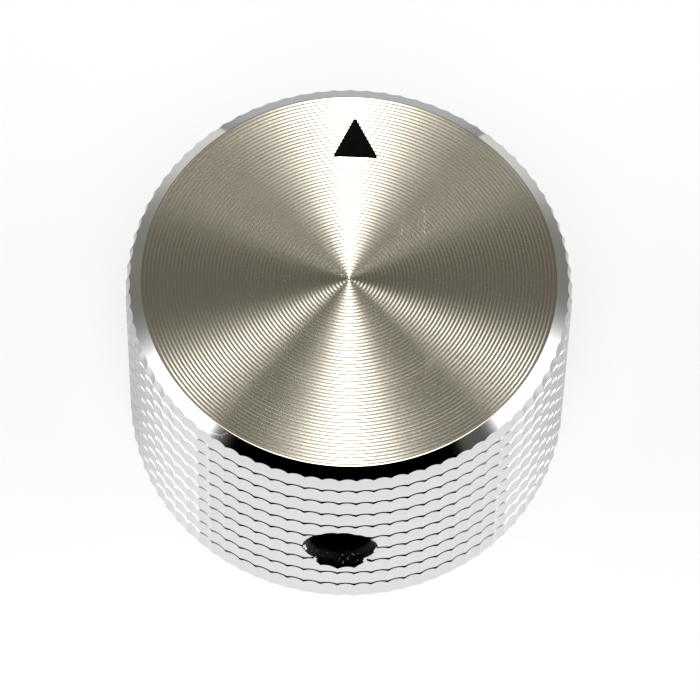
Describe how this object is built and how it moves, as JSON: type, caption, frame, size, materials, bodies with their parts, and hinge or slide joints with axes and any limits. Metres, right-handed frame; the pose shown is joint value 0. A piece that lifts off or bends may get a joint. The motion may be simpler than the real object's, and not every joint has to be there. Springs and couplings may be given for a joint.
{
  "type": "knob",
  "caption": "Turned aluminium control knob with a ring-grooved fluted grip, bevelled face, enamelled pointer, blind shaft bore and side set screw.",
  "frame": {"origin": "centre of the base, on the knob's axis", "axes": "+Z along the shaft axis towards the face, +Y towards the pointer, -Y out of the set screw's hole"},
  "size_m": [0.025, 0.025, 0.0153],
  "materials": {
    "body": "bright turned aluminium, fine rings on the face",
    "screw": "black oxide steel",
    "pointer": "black enamel"
  },
  "bodies": {
    "root": {"knob_body": "body", "set_screw": "screw", "pointer_fill": "pointer"}
  },
  "joints": []
}
